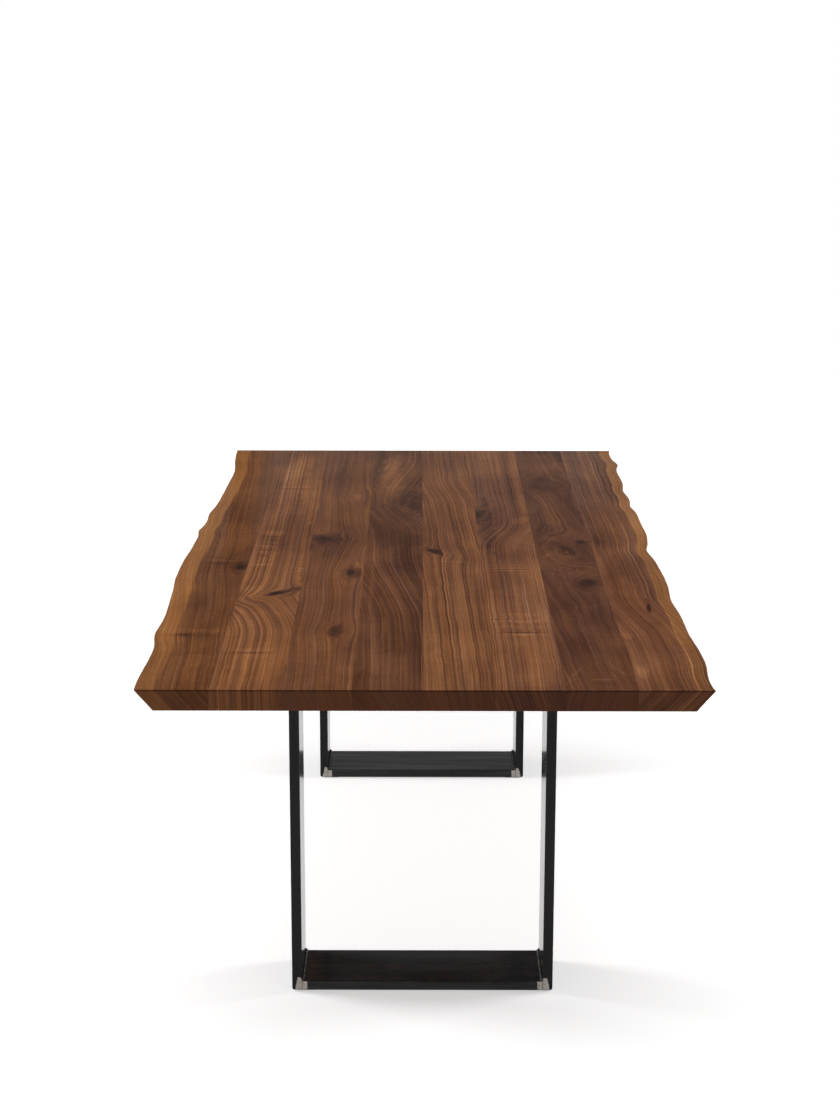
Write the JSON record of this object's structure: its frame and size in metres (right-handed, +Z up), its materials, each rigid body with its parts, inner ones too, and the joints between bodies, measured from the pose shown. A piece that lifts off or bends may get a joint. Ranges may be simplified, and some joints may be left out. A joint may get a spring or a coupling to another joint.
{
  "type": "live edge dining table",
  "caption": "Long dining table with a walnut top of edge-glued staves, natural live edges down both sides, on welded flat-bar steel leg loops.",
  "frame": {"origin": "on the floor under the middle of the table top", "axes": "+X across the staves to the right, +Y along the staves away from the near end, +Z up"},
  "size_m": [1.0384, 2.2, 0.75],
  "materials": {
    "walnut": "satin oil",
    "blackened_steel": "blackened mill scale under satin clear lacquer",
    "channel_steel": "black powder coat",
    "weld_metal": "bare rippled weld",
    "zinc_plate": "bright zinc plate",
    "brass": "turned",
    "beech": "bare",
    "felt": "felt"
  },
  "bodies": {
    "root": {"seam_1_dowels": "beech", "seam_2_dowels": "beech", "seam_3_dowels": "beech", "seam_4_dowels": "beech", "seam_5_dowels": "beech", "seam_6_dowels": "beech", "seam_7_dowels": "beech", "front_leg_left_upright": "blackened_steel", "front_leg_right_upright": "blackened_steel", "front_leg_foot_bar": "blackened_steel", "front_leg_top_bar": "blackened_steel", "front_leg_weld_beads": "weld_metal", "front_leg_felt_glides": "felt", "front_leg_bolts": "zinc_plate", "front_leg_washers": "zinc_plate", "front_leg_threaded_inserts": "brass", "rear_leg_left_upright": "blackened_steel", "rear_leg_right_upright": "blackened_steel", "rear_leg_foot_bar": "blackened_steel", "rear_leg_top_bar": "blackened_steel", "rear_leg_weld_beads": "weld_metal", "rear_leg_felt_glides": "felt", "rear_leg_bolts": "zinc_plate", "rear_leg_washers": "zinc_plate", "rear_leg_threaded_inserts": "brass", "front_stiffener_channel": "channel_steel", "front_stiffener_screws": "zinc_plate", "middle_stiffener_channel": "channel_steel", "middle_stiffener_screws": "zinc_plate", "rear_stiffener_channel": "channel_steel", "rear_stiffener_screws": "zinc_plate", "left_live_edge_stave": "walnut", "stave_1": "walnut", "stave_2": "walnut", "stave_3": "walnut", "stave_4": "walnut", "stave_5": "walnut", "stave_6": "walnut", "right_live_edge_stave": "walnut"}
  },
  "joints": []
}
